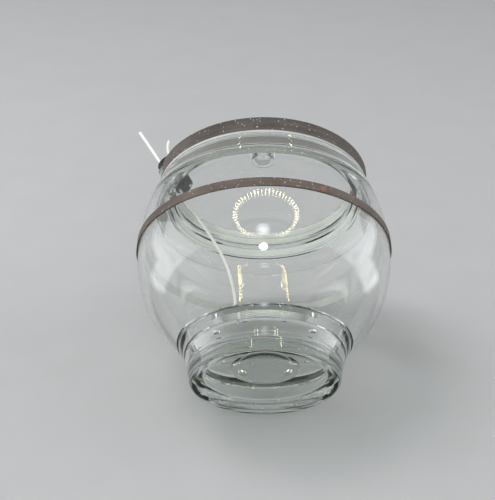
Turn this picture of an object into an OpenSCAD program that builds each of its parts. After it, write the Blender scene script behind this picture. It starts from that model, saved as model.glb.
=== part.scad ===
// Small glass desiccator: footed round vessel, domed plug lid with a rubber sleeve,
// rubber guard belt, two-hole rubber stopper with two white tubes, glass plate.
// Millimetres, +Z up. The foot stands on z = 0 and the vessel axis is the Z axis.

/* [Vessel] */
// Outer radius of the round belly
body_r = 60; // [55:0.5:70]
// Height of the widest part of the belly
equator_z = 64; // [62:0.5:68]
// Radius of the shoulder curve above the widest part
shoulder_r = 89; // [75:0.5:120]
// Outer radius of the foot near the bench
foot_r = 35.5; // [32:0.5:38]
// Outer radius of the foot where it meets the belly
waist_r = 39.4; // [37:0.2:40.4]
// Height of the ledge that carries the plate
knee_z = 20.4; // [20:0.1:22]
// Glass thickness of the belly
wall = 3.4; // [2.5:0.1:5]
// Bore radius of the mouth collar
mouth_r = 47.6; // [44:0.1:50]
// Height of the ground top face of the mouth
rim_z = 103; // [99:0.5:105]
// Thickness of the glass floor
floor_t = 3.6; // [2.6:0.1:4.4]
// Inner radius of the ring the foot stands on
ring_r = 31.2; // [30:0.1:31.8]
// Height of the hollow under the foot
hollow_h = 8.2; // [7.8:0.1:8.8]
// Radius of the flat disc in the middle of the hollow
dimple_r = 16; // [10:0.5:18]

/* [Guard belt] */
// Height of the middle of the belt
belt_z = 68.8; // [67:0.2:82]
// Width of the belt along the axis
belt_h = 4.4; // [3:0.2:12]
// Thickness of the belt
belt_t = 0.8; // [0.5:0.1:2]

/* [Gasket] */
// Outer radius of the gasket
gasket_r = 51; // [50.6:0.1:54]
// Height of the gasket above the mouth
gasket_h = 8.6; // [7:0.1:12]
// Thickness of the gasket wall
gasket_t = 1.5; // [1:0.1:1.9]

/* [Lid] */
// Sphere radius of the outside of the dome
dome_r = 81.3; // [70:0.1:100]
// Height of the top of the dome above the bench
dome_z = 124.6; // [120:0.1:132]
// Glass thickness of the dome
lid_wall = 3; // [2:0.1:4]
// Depth the ground plug of the lid hangs into the mouth
plug_h = 9; // [6:0.5:12]
// Radial play between plug and mouth
plug_play = 0.06; // [0.02:0.01:0.1]
// Radius of the lid knob
knob_r = 7.2; // [5:0.1:9]

/* [Stopper and tubes] */
// Lean of the side neck from the vertical
neck_tilt = 30.3; // [25:0.1:33]
// Radius of the small end of the rubber stopper
stopper_r = 4.7; // [4.6:0.1:5]
// Outer radius of both tubes
tube_r = 0.7; // [0.5:0.05:1]
// Bore radius of both tubes
tube_bore_r = 0.4; // [0.2:0.05:0.45]
// Distance of each tube from the stopper axis
tube_off = 2.9; // [2.2:0.1:3]
// Length of the straight dip tube above the stopper's small end
dip_top = 40.6; // [30:0.2:50]
// Length of the straight dip tube below the stopper's small end
dip_low = 33.7; // [25:0.1:36]
// Bend radius of the dip tube
dip_bend_r = 80; // [60:1:90]
// Bend angle of the dip tube
dip_bend_a = 27.2; // [10:0.2:28]

/* [Plate] */
// Radius of the glass plate
plate_r = 35.2; // [34:0.1:35.4]
// Thickness of the glass plate
plate_t = 2.5; // [2:0.1:4]

/* [Hidden] */
$fn = 128;
top_z = rim_z + gasket_h;              // top of the gasket wall
shoulder_x = body_r - shoulder_r;      // centre of the shoulder curve, left of the axis
seat_z = rim_z + 3;                    // where the lid flange sits in the gasket
flange_r = gasket_r - gasket_t;        // outer radius of the lid flange
run = 0.05;                            // running play between lid and gasket
skin = 0.02;                           // air between rubber and glass
cap_h = hollow_h + 1.7;                // height the dished underside would reach on the axis
cap_r = (ring_r * ring_r + cap_h * cap_h) / (2 * cap_h);  // sphere radius of the dished underside
stop_at = [-38.5, -7, rim_z - 0.4];          // middle of the stopper's small end

// part of the half plane right of the axis, between two heights
module slab(z0, z1, r = 90) translate([0, z0]) square([r, z1 - z0]);

// belly and shoulder line, grown by g (negative for the inside of the glass)
module belly(g) {
    intersection() {
        translate([0, equator_z]) circle(r = body_r + g, $fn = 200);
        slab(0, equator_z);
    }
    intersection() {
        translate([shoulder_x, equator_z]) circle(r = shoulder_r + g, $fn = 240);
        slab(equator_z, rim_z);
    }
}

// foot with a thin standing ring and a dished underside
module foot_outline() {
    difference() {
        union() {
            translate([foot_r - 2.5, 1.4]) circle(r = 1.4, $fn = 64);
            square([foot_r - 2.5, 6]);
            polygon([[0, 1.4], [foot_r - 1.1, 1.4], [foot_r - 0.3, 6], [foot_r + 0.7, 10], [foot_r + 1.9, 14],
                     [waist_r, 18], [waist_r + 0.5, 20], [0, 20]]);
        }
        intersection() {
            translate([0, cap_h - cap_r]) circle(r = cap_r, $fn = 360);
            slab(-1, hollow_h - 0.6);
        }
        slab(-1, hollow_h, dimple_r);
    }
}

// room for the drying agent, over a floor that follows the dished underside
module foot_cavity() {
    difference() {
        union() {
            translate([foot_r - 8, 10]) circle(r = 4, $fn = 64);
            translate([0, 6]) square([foot_r - 8, 5]);
            polygon([[0, 10], [foot_r - 4, 10], [foot_r - 2.6, 14.4], [foot_r - 2.6, 15.6],
                     [plate_r - 3.4, 17], [plate_r - 3.4, knee_z + 1], [0, knee_z + 1]]);
        }
        translate([0, cap_h - cap_r]) circle(r = cap_r + floor_t, $fn = 360);
    }
}

module vessel() {
    color([0.86, 0.93, 0.91, 0.35])
    rotate_extrude($fn = 180) {
        difference() {
            union() {
                intersection() { belly(0); slab(19.6, rim_z); }
                foot_outline();
            }
            // hollow of the belly, up to the thick collar
            intersection() {
                belly(-wall);
                polygon([[0, knee_z], [80, knee_z], [80, rim_z - 16],
                             [mouth_r + 5.2, rim_z - 15], [mouth_r, rim_z - 9.6], [0, rim_z - 9.6]]);
            }
            // bore of the mouth
            slab(rim_z - 10, rim_z + 1, mouth_r);
            // softened inner and outer edge of the ground mouth
            polygon([[mouth_r - 1, rim_z + 0.1], [mouth_r + 0.5, rim_z + 0.1], [mouth_r - 1, rim_z - 1.4]]);
            foot_cavity();
        }
    }
}

module guard_belt() {
    color([0.23, 0.20, 0.18])
    rotate_extrude($fn = 180)
        intersection() {
            difference() { belly(belt_t); belly(skin); }
            slab(belt_z - belt_h / 2, belt_z + belt_h / 2);
        }
}

module lid_gasket() {
    color([0.21, 0.19, 0.18])
    difference() {
        rotate_extrude($fn = 180)
            difference() {
                union() {
                    // wall round the lid flange, with a softened top edge
                    slab(rim_z + skin, top_z - 0.6, gasket_r);
                    slab(rim_z + skin, top_z, gasket_r - 0.6);
                    translate([gasket_r - 0.6, top_z - 0.6]) circle(r = 0.6, $fn = 32);
                }
                slab(0, 300, mouth_r + 0.1);
                // seat of the lid flange
                slab(seat_z, top_z + 1, flange_r);
            }
        // open notch for the side neck
        translate([stop_at[0] - 12, stop_at[1], seat_z - 0.6]) cylinder(r = 9.5, h = 12, $fn = 64);
    }
}

// stands a part on the tilted axis of the side neck, s along the axis
module neck_axis(s = 0, off = 0)
    translate(stop_at) rotate([0, -neck_tilt, 0]) translate([off, 0, s]) children();

module lid() {
    color([0.86, 0.93, 0.91, 0.35])
    difference() {
        union() {
            rotate_extrude($fn = 180) {
                difference() {
                    union() {
                        intersection() {
                            translate([0, dome_z - dome_r]) circle(r = dome_r, $fn = 360);
                            slab(seat_z + run, 140, 46.8);
                        }
                        slab(seat_z + run, seat_z + 3.6, flange_r - run);
                        // ground plug with a stepped inside
                        slab(rim_z - plug_h, seat_z + 1, mouth_r - plug_play);
                        // foot and stem of the knob
                        slab(dome_z - 2.6, dome_z + 6, knob_r - 3.2);
                        slab(dome_z - 1, dome_z + 0.8, knob_r - 1.4);
                    }
                    intersection() {
                        translate([0, dome_z - dome_r]) circle(r = dome_r - lid_wall, $fn = 360);
                        slab(0, 140, 43.6);
                    }
                    polygon([[0, 0], [45.6, 0], [45.6, rim_z - plug_h + 1.2], [44.9, rim_z - plug_h + 1.8],
                             [44.9, rim_z - plug_h + 4.2], [44.2, rim_z - plug_h + 4.8],
                             [44.2, rim_z - plug_h + 7.4], [43.6, rim_z - plug_h + 8], [0, rim_z - plug_h + 8]]);
                    slab(0, rim_z + 2.5, 43.6);
                }
                // knob
                intersection() {
                    union() {
                        translate([knob_r - 3, dome_z + 7.2]) circle(r = 3, $fn = 64);
                        slab(dome_z + 4.2, dome_z + 10.2, knob_r - 3);
                    }
                    slab(dome_z, dome_z + 20);
                }
            }
            // side neck, rooted in the glass of the shoulder
            neck_axis(8.8) cylinder(r = stopper_r + 1.7, h = 5.4);
        }
        neck_axis(0) stopper_body(0.03);
    }
}

// tapered rubber stopper
module stopper_body(g) {
    rotate_extrude($fn = 96)
        polygon([[0, -0.01], [stopper_r + g - 0.7, -0.01], [stopper_r + g, 0.8],
                 [stopper_r + g + 0.6, 17], [stopper_r + g + 0.2, 17.6], [0, 17.6]]);
}

module side_stopper() {
    color([0.08, 0.08, 0.085])
    difference() {
        neck_axis(0) stopper_body(0);
        neck_axis(-1, -tube_off) cylinder(r = tube_r, h = 22, $fn = 48);
        neck_axis(-1, tube_off) cylinder(r = tube_r, h = 22, $fn = 48);
    }
}

// solid rod along the dip tube's path: long straight, then one gentle bend
module dip_rod(r, x = 0) {
    neck_axis(-dip_low, -tube_off) {
        cylinder(r = r, h = dip_low + dip_top + x, $fn = 48);
        translate([-dip_bend_r, 0, 0]) rotate([-90, 0, 0])
            rotate_extrude(angle = dip_bend_a + x * 0.8, $fn = 360)
                translate([dip_bend_r, 0]) circle(r = r, $fn = 48);
    }
}

module dip_tube() {
    color([0.93, 0.92, 0.88])
    difference() {
        dip_rod(tube_r, 0);
        dip_rod(tube_bore_r, 1);
    }
}

// short tube: straight through the stopper, then a small elbow
module outlet_rod(r, x = 0) {
    neck_axis(18.5, tube_off) {
        translate([0, 0, -19.1 - x]) cylinder(r = r, h = 19.1 + x, $fn = 48);
        translate([14, 0, 0]) rotate([90, 0, 180])
            rotate_extrude(angle = 45 + x * 3, $fn = 180) translate([14, 0]) circle(r = r, $fn = 48);
    }
}

module outlet_tube() {
    color([0.90, 0.90, 0.87])
    difference() {
        outlet_rod(tube_r, 0);
        outlet_rod(tube_bore_r, 1);
    }
}

module support_plate() {
    color([0.84, 0.92, 0.90, 0.35])
    translate([0, 0, knee_z + 0.02])
    difference() {
        rotate_extrude($fn = 180) {
            square([plate_r - 0.5, plate_t]);
            translate([0, 0.5]) square([plate_r, plate_t - 1]);
            translate([plate_r - 0.5, 0.5]) circle(r = 0.5, $fn = 32);
            translate([plate_r - 0.5, plate_t - 0.5]) circle(r = 0.5, $fn = 32);
        }
        translate([0, 0, -1]) cylinder(r = 3, h = plate_t + 2, $fn = 64);
        for (i = [0 : 7]) rotate([0, 0, i * 45 + 22.5]) translate([23, 0, -1])
            cylinder(r = 1.6, h = plate_t + 2, $fn = 48);
    }
}

vessel();
guard_belt();
lid_gasket();
lid();
side_stopper();
dip_tube();
outlet_tube();
support_plate();
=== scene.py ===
import math

import bpy
from mathutils import Matrix, Vector

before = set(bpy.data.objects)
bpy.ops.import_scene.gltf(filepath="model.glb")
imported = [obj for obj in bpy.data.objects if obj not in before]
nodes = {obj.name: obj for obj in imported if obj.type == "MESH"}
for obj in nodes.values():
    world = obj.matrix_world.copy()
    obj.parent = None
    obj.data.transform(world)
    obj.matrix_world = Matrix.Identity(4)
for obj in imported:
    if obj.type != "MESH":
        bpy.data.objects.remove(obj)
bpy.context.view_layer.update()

# ---------------------------------------------------------------- node helpers


class Tree:
    def __init__(self, name):
        self.mat = bpy.data.materials.new(name)
        self.mat.use_nodes = True
        self.nt = self.mat.node_tree
        self.nt.nodes.clear()
        self.out = self.nt.nodes.new("ShaderNodeOutputMaterial")
        self.co = self.nt.nodes.new("ShaderNodeTexCoord").outputs["Object"]

    def new(self, kind, **props):
        n = self.nt.nodes.new(kind)
        for k, v in props.items():
            setattr(n, k, v)
        return n

    def link(self, a, b):
        self.nt.links.new(a, b)

    def put(self, socket, v):
        if isinstance(v, bpy.types.NodeSocket):
            self.link(v, socket)
        else:
            socket.default_value = v

    def math(self, op, a, b=0.0, clamp=False):
        n = self.new("ShaderNodeMath", operation=op, use_clamp=clamp)
        self.put(n.inputs[0], a)
        self.put(n.inputs[1], b)
        return n.outputs[0]

    def noise(self, scale, detail=3.0, rough=0.55, vec=None, dist=0.0):
        n = self.new("ShaderNodeTexNoise")
        self.put(n.inputs["Vector"], vec or self.co)
        n.inputs["Scale"].default_value = scale
        n.inputs["Detail"].default_value = detail
        n.inputs["Roughness"].default_value = rough
        n.inputs["Distortion"].default_value = dist
        return n.outputs["Fac"]

    def ramp(self, v, a, b, lo=0.0, hi=1.0):
        n = self.new("ShaderNodeMapRange", clamp=True)
        n.inputs["From Min"].default_value = a
        n.inputs["From Max"].default_value = b
        n.inputs["To Min"].default_value = lo
        n.inputs["To Max"].default_value = hi
        self.put(n.inputs["Value"], v)
        return n.outputs["Result"]

    def mix(self, f, a, b):
        n = self.new("ShaderNodeMix", data_type="RGBA", clamp_factor=True)
        self.put(n.inputs["Factor"], f)
        self.put(n.inputs[6], a)
        self.put(n.inputs[7], b)
        return n.outputs[2]

    def stretched(self, sx, sy, sz):
        n = self.new("ShaderNodeMapping")
        self.link(self.co, n.inputs["Vector"])
        n.inputs["Scale"].default_value = (sx, sy, sz)
        return n.outputs[0]

    def specks(self, scale, size, amount, seed=0.0):
        """Small round dust grains: 1 on a grain, 0 off it."""
        v = self.new("ShaderNodeTexVoronoi")
        m = self.new("ShaderNodeMapping")
        self.link(self.co, m.inputs["Vector"])
        m.inputs["Location"].default_value = (seed, seed * 0.7, seed * 1.3)
        self.link(m.outputs[0], v.inputs["Vector"])
        v.inputs["Scale"].default_value = scale
        v.inputs["Randomness"].default_value = 1.0
        near = self.ramp(v.outputs["Distance"], size, size * 0.55)
        w = self.new("ShaderNodeSeparateColor")
        self.link(v.outputs["Color"], w.inputs[0])
        keep = self.math("LESS_THAN", w.outputs[0], amount)
        return self.math("MULTIPLY", near, keep)

    def bump(self, h, strength, distance, normal=None):
        n = self.new("ShaderNodeBump")
        n.inputs["Strength"].default_value = strength
        n.inputs["Distance"].default_value = distance
        self.put(n.inputs["Height"], h)
        if normal is not None:
            self.link(normal, n.inputs["Normal"])
        return n.outputs[0]

    def near(self, p, r0, r1):
        """1 within r0 metres of the point p, falling to 0 at r1."""
        n = self.new("ShaderNodeVectorMath", operation="DISTANCE")
        self.link(self.co, n.inputs[0])
        n.inputs[1].default_value = p
        return self.ramp(n.outputs["Value"], r1, r0)


def shell_normal(t, shells):
    """Exact outward normals of round glass faces: (axis height, ring offset, radius, side, lowest z, highest z) in metres."""
    geo = t.new("ShaderNodeNewGeometry")
    sep = t.new("ShaderNodeSeparateXYZ")
    t.link(t.co, sep.inputs[0])
    x, y, z = sep.outputs
    rad = t.math("SQRT", t.math("ADD", t.math("MULTIPLY", x, x), t.math("MULTIPLY", y, y)))
    rad = t.math("MAXIMUM", rad, 1e-5)
    facing = t.math("SUBTRACT", 1.0, t.math("MULTIPLY", geo.outputs["Backfacing"], 2.0))
    normal = geo.outputs["Normal"]
    for height, offset, radius, side, z0, z1 in shells:
        k = t.math("DIVIDE", t.math("ADD", rad, offset), rad)
        comb = t.new("ShaderNodeCombineXYZ")
        t.link(t.math("MULTIPLY", x, k), comb.inputs[0])
        t.link(t.math("MULTIPLY", y, k), comb.inputs[1])
        t.link(t.math("SUBTRACT", z, height), comb.inputs[2])
        length = t.new("ShaderNodeVectorMath", operation="LENGTH")
        t.link(comb.outputs[0], length.inputs[0])
        off = t.math("ABSOLUTE", t.math("SUBTRACT", length.outputs["Value"], radius))
        on = t.math("LESS_THAN", off, 0.00013)
        on = t.math("MULTIPLY", on, t.math("GREATER_THAN", z, z0))
        on = t.math("MULTIPLY", on, t.math("LESS_THAN", z, z1))
        unit = t.new("ShaderNodeVectorMath", operation="NORMALIZE")
        t.link(comb.outputs[0], unit.inputs[0])
        turn = t.new("ShaderNodeVectorMath", operation="SCALE")
        t.link(unit.outputs[0], turn.inputs[0])
        t.link(t.math("MULTIPLY", facing, side), turn.inputs["Scale"])
        world = t.new("ShaderNodeVectorTransform", vector_type="NORMAL", convert_from="OBJECT", convert_to="WORLD")
        t.link(turn.outputs[0], world.inputs[0])
        m = t.new("ShaderNodeMix", data_type="VECTOR")
        t.link(on, m.inputs[0])
        t.link(normal, m.inputs[4])
        t.link(world.outputs[0], m.inputs[5])
        normal = m.outputs[1]
    return normal


def glass(name, tint, absorb, density, seed, waves=0.000012, smudge=0.07, dust=0.18, frost=False, shells=()):
    """Soda-lime glass: slight green in the thick parts, pressed waviness, finger smudges and dust grains."""
    t = Tree(name)
    b = t.new("ShaderNodeBsdfPrincipled")
    b.inputs["Base Color"].default_value = (*tint, 1)
    b.inputs["IOR"].default_value = 1.5
    b.inputs["Transmission Weight"].default_value = 1.0
    cloud = t.noise(34.0 + seed, 4.0, 0.6, dist=0.4)
    wipe = t.noise(9.0, 2.0, 0.5, vec=t.stretched(3.0, 3.0, 14.0))
    greasy = t.ramp(cloud, 0.54, 0.78)
    wiped = t.ramp(wipe, 0.5, 0.8)
    haze = t.math("MULTIPLY", greasy, wiped)
    rough = t.ramp(haze, 0.0, 1.0, 0.012, smudge)
    if frost:
        # the ground sealing zone round the plug
        sep = t.new("ShaderNodeSeparateXYZ")
        t.link(t.co, sep.inputs[0])
        rad = t.math("SQRT", t.math("ADD", t.math("POWER", sep.outputs[0], 2.0), t.math("POWER", sep.outputs[1], 2.0)))
        zone = t.math("MULTIPLY", t.ramp(rad, 0.0470, 0.0472), t.math("MULTIPLY", t.ramp(sep.outputs[2], 0.1004, 0.1002), t.ramp(sep.outputs[2], 0.0955, 0.0958)))
        grit = t.noise(1600.0, 2.0, 0.7)
        rough = t.math("MAXIMUM", rough, t.math("MULTIPLY", zone, t.ramp(grit, 0.3, 0.7, 0.34, 0.52)))
    t.put(b.inputs["Roughness"], rough)
    slow = t.noise(30.0, 1.5, 0.4)
    cords = t.noise(22.0, 2.0, 0.5, vec=t.stretched(1.0, 1.0, 3.2))
    h = t.math("ADD", slow, t.math("MULTIPLY", cords, 0.6))
    t.put(b.inputs["Normal"], t.bump(h, 1.0, waves, shell_normal(t, shells) if shells else None))
    lp = t.new("ShaderNodeLightPath")
    clear = t.new("ShaderNodeBsdfTransparent")
    clear.inputs["Color"].default_value = (0.88, 0.895, 0.885, 1)
    shade = t.new("ShaderNodeMixShader")
    t.link(lp.outputs["Is Shadow Ray"], shade.inputs[0])
    t.link(b.outputs[0], shade.inputs[1])
    t.link(clear.outputs[0], shade.inputs[2])
    grains = t.math(
        "MAXIMUM",
        t.specks(620.0, 0.16, dust, seed),
        t.specks(300.0, 0.10, dust * 0.45, seed + 3.0),
    )
    film = t.math("MULTIPLY", haze, 0.05)
    cover = t.math("MAXIMUM", t.math("MULTIPLY", grains, 0.85), film)
    lint = t.new("ShaderNodeBsdfDiffuse")
    lint.inputs["Color"].default_value = (0.80, 0.80, 0.77, 1)
    lint.inputs["Roughness"].default_value = 1.0
    dusty = t.new("ShaderNodeMixShader")
    t.link(cover, dusty.inputs[0])
    t.link(shade.outputs[0], dusty.inputs[1])
    t.link(lint.outputs[0], dusty.inputs[2])
    last = dusty.outputs[0]
    if frost:
        # ground zone: mottled brown-grey diffuse film seen from outside; its back face is painted pale, a painted light
        # standing for light coming through it
        gb = t.new("ShaderNodeNewGeometry")
        film2 = t.new("ShaderNodeBsdfDiffuse")
        mott = t.ramp(t.noise(70.0, 4.0, 0.6, vec=t.stretched(1.0, 1.0, 6.0)), 0.3, 0.7)
        warm_c = t.mix(mott, (0.115, 0.098, 0.088, 1), (0.20, 0.175, 0.16, 1))
        t.put(film2.inputs["Color"], t.mix(gb.outputs["Backfacing"], warm_c, (0.93, 0.95, 0.92, 1)))
        ground = t.new("ShaderNodeMixShader")
        t.link(t.math("MULTIPLY", zone, t.ramp(mott, 0.0, 1.0, 0.62, 0.82)), ground.inputs[0])
        t.link(last, ground.inputs[1])
        t.link(film2.outputs[0], ground.inputs[2])
        last = ground.outputs[0]
    t.link(last, t.out.inputs["Surface"])
    vol = t.new("ShaderNodeVolumeAbsorption")
    vol.inputs["Color"].default_value = (*absorb, 1)
    vol.inputs["Density"].default_value = density
    t.link(vol.outputs[0], t.out.inputs["Volume"])
    return t.mat


def rubber(name, dark, light, seed, rough=(0.55, 0.85), dust=0.5, streak=1.0, spot=None, inner=None, edge=None, ghost=0.0):
    """Aged rubber: blotchy bloom, streaks round the ring, a fine skin and pale dust grains."""
    t = Tree(name)
    b = t.new("ShaderNodeBsdfPrincipled")
    blot = t.noise(60.0 + seed, 5.0, 0.65)
    fine = t.noise(900.0, 2.0, 0.6)
    band = t.noise(14.0, 3.0, 0.6, vec=t.stretched(1.0, 1.0, 60.0))
    bloom = t.math(
        "ADD",
        t.math("MULTIPLY", t.ramp(blot, 0.35, 0.72), 0.6),
        t.math("MULTIPLY", t.ramp(band, 0.4, 0.7), 0.4 * streak),
    )
    col = t.mix(bloom, (*dark, 1), (*light, 1))
    grains = t.math(
        "MAXIMUM",
        t.specks(700.0, 0.22, dust, seed),
        t.specks(330.0, 0.13, dust * 0.5, seed + 5.0),
    )
    col = t.mix(t.math("MULTIPLY", grains, 0.8), col, (0.62, 0.60, 0.56, 1))
    if spot:
        col = t.mix(t.math("MULTIPLY", t.near(*spot), 0.6), col, (0.30, 0.13, 0.09, 1))
    if edge:
        # lower edge painted pale: a painted highlight line along the bottom of the ring
        se = t.new("ShaderNodeSeparateXYZ")
        t.link(t.co, se.inputs[0])
        col = t.mix(t.math("MULTIPLY", t.ramp(se.outputs[2], edge + 0.0001, edge), t.ramp(blot, 0.3, 0.7, 1.0, 0.75)), col, (0.47, 0.48, 0.465, 1))
    if inner:
        # the face against the glass, and undersides seen through the vessel, are painted pale: a painted brightness
        # standing for light reaching them through the glass
        g = t.new("ShaderNodeNewGeometry")
        vt = t.new("ShaderNodeVectorTransform", vector_type="NORMAL", convert_from="WORLD", convert_to="OBJECT")
        t.link(g.outputs["True Normal"], vt.inputs[0])
        flat = t.new("ShaderNodeVectorMath", operation="MULTIPLY")
        t.link(t.co, flat.inputs[0])
        flat.inputs[1].default_value = (1, 1, 0)
        dot = t.new("ShaderNodeVectorMath", operation="DOT_PRODUCT")
        t.link(vt.outputs[0], dot.inputs[0])
        t.link(flat.outputs[0], dot.inputs[1])
        inward = t.math("LESS_THAN", dot.outputs["Value"], -0.01)
        sn = t.new("ShaderNodeSeparateXYZ")
        t.link(vt.outputs[0], sn.inputs[0])
        lp = t.new("ShaderNodeLightPath")
        through = t.math("GREATER_THAN", lp.outputs["Transmission Depth"], 0.5)
        inward = t.math("MAXIMUM", inward, t.math("MULTIPLY", through, t.math("LESS_THAN", sn.outputs[2], -0.5)))
        # painted light: near-white colour in place of the shade these faces get
        painted_pale = t.mix(t.ramp(blot, 0.35, 0.7), (*inner, 1), (*[c * 0.86 for c in inner], 1))
        col = t.mix(inward, col, painted_pale)
    t.put(b.inputs["Base Color"], col)
    t.put(b.inputs["Roughness"], t.ramp(bloom, 0.0, 1.0, *rough))
    b.inputs["Specular IOR Level"].default_value = 0.35
    h = t.math("ADD", t.math("MULTIPLY", fine, 0.5), t.math("MULTIPLY", band, 0.8 * streak))
    h = t.math("ADD", h, t.math("MULTIPLY", grains, 0.6))
    t.put(b.inputs["Normal"], t.bump(h, 0.7, 0.00012))
    if inner and ghost:
        # thin and translucent where light comes through the vessel behind it
        soft = t.new("ShaderNodeBsdfTransparent")
        faint = t.new("ShaderNodeMixShader")
        behind = t.math("MAXIMUM", inward, g.outputs["Backfacing"])
        t.link(t.math("MULTIPLY", t.math("MULTIPLY", through, behind), ghost), faint.inputs[0])
        t.link(b.outputs[0], faint.inputs[1])
        t.link(soft.outputs[0], faint.inputs[2])
        t.link(faint.outputs[0], t.out.inputs["Surface"])
    else:
        t.link(b.outputs[0], t.out.inputs["Surface"])
    return t.mat


def white_plastic(name, colour, stain, seed):
    """Milky tube: slightly yellowed, faint scuffs along it, soft edge light."""
    t = Tree(name)
    b = t.new("ShaderNodeBsdfPrincipled")
    blot = t.noise(120.0 + seed, 4.0, 0.6)
    scuff = t.noise(260.0, 3.0, 0.7, vec=t.stretched(4.0, 4.0, 0.5))
    col = t.mix(t.ramp(blot, 0.4, 0.75), (*colour, 1), (*stain, 1))
    col = t.mix(t.math("MULTIPLY", t.specks(900.0, 0.2, 0.3, seed), 0.5), col, (0.45, 0.43, 0.40, 1))
    t.put(b.inputs["Base Color"], col)
    t.put(b.inputs["Roughness"], t.ramp(scuff, 0.3, 0.7, 0.28, 0.5))
    b.inputs["Subsurface Weight"].default_value = 0.25
    b.inputs["Subsurface Radius"].default_value = (0.0012, 0.0011, 0.0009)
    b.inputs["Subsurface Scale"].default_value = 1.0
    t.put(b.inputs["Normal"], t.bump(scuff, 0.3, 0.00005))
    t.link(b.outputs[0], t.out.inputs["Surface"])
    return t.mat


BALL_Z = 0.064
VESSEL_SHELLS = (
    (BALL_Z, 0.0, 0.0600, 1.0, 0.0205, BALL_Z),
    (BALL_Z, 0.0, 0.0566, -1.0, 0.0210, BALL_Z),
    (BALL_Z, 0.029, 0.0890, 1.0, BALL_Z, 0.1027),
    (BALL_Z, 0.029, 0.0856, -1.0, BALL_Z, 0.0865),
)
LID_SHELLS = (
    (0.0433, 0.0, 0.0813, 1.0, 0.1090, 0.1242),
    (0.0433, 0.0, 0.0783, -1.0, 0.1065, 0.1240),
)
clear_glass = glass("clear_glass", (0.992, 0.997, 0.992), (0.79, 0.91, 0.80), 12.0, 1.0, shells=VESSEL_SHELLS)
lid_glass = glass("lid_glass", (0.992, 0.997, 0.992), (0.80, 0.92, 0.81), 11.0, 4.0, frost=True, shells=LID_SHELLS)
plate_glass = glass("plate_glass", (0.994, 0.998, 0.994), (0.82, 0.92, 0.85), 8.0, 7.0, waves=0.00002, dust=0.1)
belt_rubber = rubber(
    "belt_rubber", (0.075, 0.060, 0.052), (0.16, 0.135, 0.115), 2.0, dust=0.55,
    spot=((0.0266, -0.0546, 0.0686), 0.0008, 0.0019), inner=(0.90, 0.88, 0.86), ghost=0.6,
)
gasket_rubber = rubber(
    "gasket_rubber", (0.050, 0.043, 0.040), (0.135, 0.120, 0.110), 6.0, dust=0.42, inner=(0.92, 0.91, 0.88), edge=0.1040
)
black_rubber = rubber("black_rubber", (0.012, 0.012, 0.013), (0.040, 0.040, 0.042), 9.0, (0.5, 0.75), dust=0.25, streak=0.3)
white_tube = white_plastic("white_tube", (0.86, 0.85, 0.80), (0.80, 0.77, 0.68), 3.0)
white_tube2 = white_plastic("white_tube_short", (0.80, 0.80, 0.77), (0.74, 0.72, 0.66), 8.0)

finish = {
    "vessel": clear_glass,
    "lid": lid_glass,
    "support_plate": plate_glass,
    "guard_belt": belt_rubber,
    "lid_gasket": gasket_rubber,
    "side_stopper": black_rubber,
    "dip_tube": white_tube,
    "outlet_tube": white_tube2,
}
for name, m in finish.items():
    o = nodes[name]
    if not o.data.materials:
        o.data.materials.append(m)
    for s in o.material_slots:
        s.link = "OBJECT"
        s.material = m

# ---------------------------------------------------------------- stage

UP = Vector((0.0, -0.88209, 0.47107)).normalized()  # the way up when the vessel lies tipped back on its belly


def plane(name, centre, normal, size, mat):
    me = bpy.data.meshes.new(name)
    s = size / 2
    me.from_pydata([(-s, -s, 0), (s, -s, 0), (s, s, 0), (-s, s, 0)], [], [(0, 1, 2, 3)])
    me.materials.append(mat)
    o = bpy.data.objects.new(name, me)
    o.matrix_world = Matrix.Translation(centre) @ Vector((0, 0, 1)).rotation_difference(normal).to_matrix().to_4x4()
    bpy.context.scene.collection.objects.link(o)
    return o


def floor_material(name, colour, below):
    """Pale matt floor. It shows from its upper side only, so that views from under or behind aren't blocked."""
    t = Tree(name)
    d = t.new("ShaderNodeBsdfDiffuse")
    mott = t.noise(40.0, 3.0, 0.5)
    t.put(d.inputs["Color"], t.mix(t.ramp(mott, 0.3, 0.7), (*[c * 0.97 for c in colour], 1), (*colour, 1)))
    g = t.new("ShaderNodeNewGeometry")
    clear = t.new("ShaderNodeBsdfTransparent")
    m = t.new("ShaderNodeMixShader")
    if below:
        sep = t.new("ShaderNodeSeparateXYZ")
        t.link(g.outputs["Incoming"], sep.inputs[0])
        hide = t.math("MAXIMUM", g.outputs["Backfacing"], t.math("GREATER_THAN", sep.outputs["Z"], -0.22))
    else:
        hide = g.outputs["Backfacing"]
    t.put(m.inputs[0], hide)
    far = t.new("ShaderNodeVectorMath", operation="LENGTH")
    t.link(g.outputs["Position"], far.inputs[0])
    haze = t.new("ShaderNodeEmission")
    haze.inputs["Color"].default_value = (0.341, 0.352, 0.363, 1)
    fade = t.new("ShaderNodeMixShader")
    t.link(t.ramp(far.outputs["Value"], 0.45, 1.5) if not below else t.ramp(far.outputs["Value"], 1.2, 2.4), fade.inputs[0])
    t.link(d.outputs[0], fade.inputs[1])
    t.link(haze.outputs[0], fade.inputs[2])
    t.link(fade.outputs[0], m.inputs[1])
    t.link(clear.outputs[0], m.inputs[2])
    t.link(m.outputs[0], t.out.inputs["Surface"])
    return t.mat


FLOOR = (0.40, 0.402, 0.405)
bench = plane("bench", (0, 0, -0.0003), Vector((0, 0, 1)), 8.0, floor_material("bench_mat", FLOOR, False))
bench.visible_shadow = False
rest = plane("leaning_floor", Vector((0, 0.03384, 0)) - UP * 0.0003, UP, 8.0, floor_material("leaning_mat", FLOOR, True))
rest.visible_shadow = False

world = bpy.data.worlds.new("studio")
bpy.context.scene.world = world
world.use_nodes = True
wt = world.node_tree
wt.nodes.clear()
wo = wt.nodes.new("ShaderNodeOutputWorld")
bg = wt.nodes.new("ShaderNodeBackground")
bg.inputs["Color"].default_value = (0.62, 0.64, 0.66, 1)
bg.inputs["Strength"].default_value = 0.55
wt.links.new(bg.outputs[0], wo.inputs[0])


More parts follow.
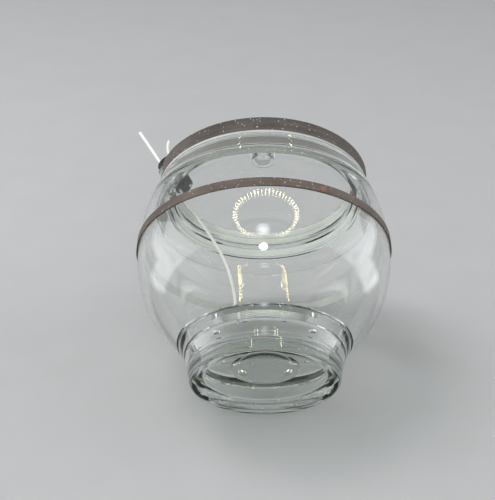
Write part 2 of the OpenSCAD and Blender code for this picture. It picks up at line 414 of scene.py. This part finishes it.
def lamp(name, pos, size, power, colour=(1, 1, 1), aim=(0, 0, 0.06), shape="RECTANGLE", size_y=None):
    d = bpy.data.lights.new(name, "AREA")
    d.energy = power
    d.color = colour
    d.shape = shape
    d.size = size
    if size_y:
        d.size_y = size_y
    o = bpy.data.objects.new(name, d)
    o.location = pos
    o.rotation_euler = (Vector(aim) - Vector(pos)).to_track_quat("-Z", "Y").to_euler()
    bpy.context.scene.collection.objects.link(o)
    o.visible_camera = False
    o.visible_glossy = False
    o.visible_transmission = False
    return o


lamp("key", (-0.45, -0.75, 0.75), 0.45, 9.0, size_y=0.6)
lamp("fill", (0.9, -0.5, 0.25), 0.7, 5.0, size_y=0.9)
lamp("left_wall", (-0.85, -0.15, 0.0), 0.6, 5.0, size_y=0.9)
lamp("under", (0.15, -0.8, -0.45), 0.35, 3.0, size_y=0.5)
lamp("back", (0.2, 0.9, 0.6), 0.8, 7.0, size_y=0.5)


def glint_material(name, colour, strength, rise=None, hooded=False):
    """A lamp that only shows as a mirror image in glass, so that it adds no grain to matt surfaces."""
    t = Tree(name)
    e = t.new("ShaderNodeEmission")
    e.inputs["Color"].default_value = (*colour, 1)
    lp = t.new("ShaderNodeLightPath")
    seen = t.math("GREATER_THAN", lp.outputs["Glossy Depth"], 0.5)
    if rise or hooded:
        # the lamps stand round the camera of the main view, so other views are lit without them
        ax = t.new("ShaderNodeVectorTransform", vector_type="VECTOR", convert_from="CAMERA", convert_to="WORLD")
        ax.inputs[0].default_value = (0, 0, 1)
        dot = t.new("ShaderNodeVectorMath", operation="DOT_PRODUCT")
        t.link(ax.outputs[0], dot.inputs[0])
        dot.inputs[1].default_value = (0, math.cos(math.radians(31.0)), math.sin(math.radians(31.0)))
        seen = t.math("MULTIPLY", seen, t.math("GREATER_THAN", t.math("ABSOLUTE", dot.outputs["Value"]), 0.985))
    glow = t.new("ShaderNodeAttribute")
    glow.attribute_name = "glow"
    if rise:
        # hooded: only light leaving within this range of upward slope
        geo = t.new("ShaderNodeNewGeometry")
        sep = t.new("ShaderNodeSeparateXYZ")
        t.link(geo.outputs["Incoming"], sep.inputs[0])
        seen = t.math("MULTIPLY", seen, t.math("GREATER_THAN", sep.outputs[2], rise[0]))
        seen = t.math("MULTIPLY", seen, t.math("LESS_THAN", sep.outputs[2], rise[1]))
    t.put(e.inputs["Strength"], t.math("MULTIPLY", t.math("MULTIPLY", seen, strength), glow.outputs["Fac"]))
    c = t.new("ShaderNodeBsdfTransparent")
    a = t.new("ShaderNodeAddShader")
    t.link(e.outputs[0], a.inputs[0])
    t.link(c.outputs[0], a.inputs[1])
    t.link(a.outputs[0], t.out.inputs["Surface"])
    t.mat.cycles.emission_sampling = "NONE"
    return t.mat


ball = Vector((0, 0, BALL_Z))
ELEV, DIST, FOCAL = math.radians(31.0), 0.605, 1270.0
look = Vector((0, math.cos(ELEV), math.sin(ELEV)))
up = Vector((0, -math.sin(ELEV), math.cos(ELEV)))
right = Vector((1, 0, 0))
eye = ball - look * DIST


def sight(x, y):
    """Line of sight of the camera, x right of and y above the middle of the belly, in 1/1270 of the distance."""
    return (look + right * (x / FOCAL) + up * (y / FOCAL)).normalized()


def off_belly(x, y):
    d = sight(x, y)
    o = eye - ball
    b = o.dot(d)
    p = eye + d * (-b - math.sqrt(max(b * b - o.dot(o) + 0.0036, 0.0)))
    n = (p - ball).normalized()
    return p, d - n * (2 * d.dot(n))


def glints(name, quads, mat, away=0.35, mirror=off_belly):
    """Emitters placed so that the glass mirrors each quad where the camera looks through its four corners."""
    verts, faces, glow = [], [], []
    for pts, g in quads:
        base = len(verts)
        for k, (x, y) in enumerate(pts):
            p, r = mirror(x, y)
            verts.append(p + r * away)
            glow.append(g[k] if isinstance(g, tuple) else g)
        faces.append(tuple(range(base, base + len(pts))))
    me = bpy.data.meshes.new(name)
    me.from_pydata(verts, [], faces)
    att = me.attributes.new("glow", "FLOAT", "POINT")
    for i, g in enumerate(glow):
        att.data[i].value = g
    me.materials.append(mat)
    o = bpy.data.objects.new(name, me)
    bpy.context.scene.collection.objects.link(o)
    o.visible_camera = False
    o.visible_shadow = False
    o.visible_diffuse = False
    return o


def dash(x, y, ang, length, width):
    c, s = math.cos(ang), math.sin(ang)
    a, b = length / 2, width / 2
    return [(x + c * u - s * v, y + s * u + c * v) for u, v in ((-a, -b), (a, -b), (a, b), (-a, b))]


def spot(x, y, r, sides=8, ry=None):
    ry = ry or r
    return [(x + r * math.cos(2 * math.pi * k / sides), y + ry * math.sin(2 * math.pi * k / sides)) for k in range(sides)]


warm = glint_material("led_warm", (1.0, 0.90, 0.55), 26.0, hooded=True)
soft = glint_material("soft_panel", (0.95, 0.98, 1.0), 1.0)

# ring lamp: a ring of small dashes
ring = []
for i in range(52):
    a = 2 * math.pi * i / 52
    x, y = 2.5 + 31.5 * math.cos(a), 47.5 + 23.5 * math.sin(a)
    ring.append((dash(x, y, math.atan2(math.sin(a) * 31.5, math.cos(a) * 23.5), 3.8, 0.95), 1.0 if math.sin(a) > -0.5 else 0.6))
glints("led_ring", ring, warm)

# cluster of lamps in the middle, merged into one soft round glow, and a bright one below it
rim = spot(-0.5, 33.0, 8.6, 24, 8.2)
cluster = [([(-0.5, 33.0), rim[k], rim[(k + 1) % 24]], (1.0, 0.0, 0.0)) for k in range(24)]
glints("led_cluster", cluster, glint_material("led_cluster", (0.93, 0.97, 1.0), 9.0, (-0.06, 0.30)))
glints("led_spot", [(spot(-0.5, 15.5, 4.6, 14, 3.6), 1.0)], glint_material("led_spot", (0.93, 0.97, 1.0), 60.0, (0.1, 0.5)), away=0.1)

# strips at the lower left and right of the middle
strips = []
for k in range(13):
    f = k / 12
    strips.append((spot(-25.5 + 1.2 * f, -4.0 - 34.0 * f, 0.9, 6), 1.0))
    strips.append((spot(19.0 + 5.5 * f ** 0.6, -4.0 - 34.0 * f, 0.9, 6), 1.0))
glints("led_strips", strips, glint_material("led_amber", (1.0, 0.78, 0.25), 26.0, (0.45, 0.95)), away=0.017)

def panel(name, side, x_out, x_in, y_top, y_low, level):
    """Light-tent wall mirrored in one flank: crisp outer and lower edge, fading towards the middle."""
    quads = []
    nu, nv = 14, 16

    def edge(v):
        y = y_top + (y_low - y_top) * v
        # the crisp edge follows the flank, rounded off at the bottom
        out = x_out * math.sqrt(max(1.0 - (y / 128.0) ** 2, 0.1)) / math.sqrt(1.0 - (10.0 / 128.0) ** 2)
        if v > 0.86:
            out -= (v - 0.86) / 0.14 * 9.0
        return y, out

    def point(u, v):
        y, out = edge(v)
        return (side * (out + (x_in - out) * u), y)

    def bright(u, v):
        g = (1.0 - u) ** 0.7 * (0.45 + 0.55 * min(1.0, v * 2.2)) * (0.35 + 0.65 * min(1.0, u * 2.5 + 0.25))
        if v > 0.66:
            g *= 1.0 if u < 0.3 else max(0.0, 1.0 - (u - 0.3) * 4.0)
        return g * level

    for i in range(nu):
        for j in range(nv):
            c = [(i / nu, j / nv), ((i + 1) / nu, j / nv), ((i + 1) / nu, (j + 1) / nv), (i / nu, (j + 1) / nv)]
            quads.append(([point(*q) for q in c], tuple(bright(*q) for q in c)))
    glints(name, quads, soft, away=0.5)


panel("left_panel", -1, 114.0, 52.0, 42.0, -33.0, 2.6)
panel("right_panel", 1, 116.0, 60.0, 50.0, -33.0, 2.7)

# ---------------------------------------------------------------- camera

cam_d = bpy.data.cameras.new("cam")
cam_d.sensor_width = 36.0
cam_d.lens = FOCAL * 36.0 / 500.0
cam_d.clip_start = 0.01
cam_d.clip_end = 50
cam = bpy.data.objects.new("cam", cam_d)
bpy.context.scene.collection.objects.link(cam)
# the belly's middle sits a little right of and below the middle of the frame
aim = (look + right * (-16.3 / 1270.0) + up * (12.0 / 1270.0)).normalized()
r2 = aim.cross(up).normalized()
u2 = r2.cross(aim).normalized()
rot = Matrix((r2, u2, -aim)).transposed()
cam.matrix_world = Matrix.Translation(eye) @ (rot @ Matrix.Rotation(math.radians(-0.6), 3, "Z")).to_4x4()
bpy.context.scene.camera = cam
bpy.context.scene.view_settings.view_transform = "Standard"
bpy.context.scene.view_settings.look = "None"
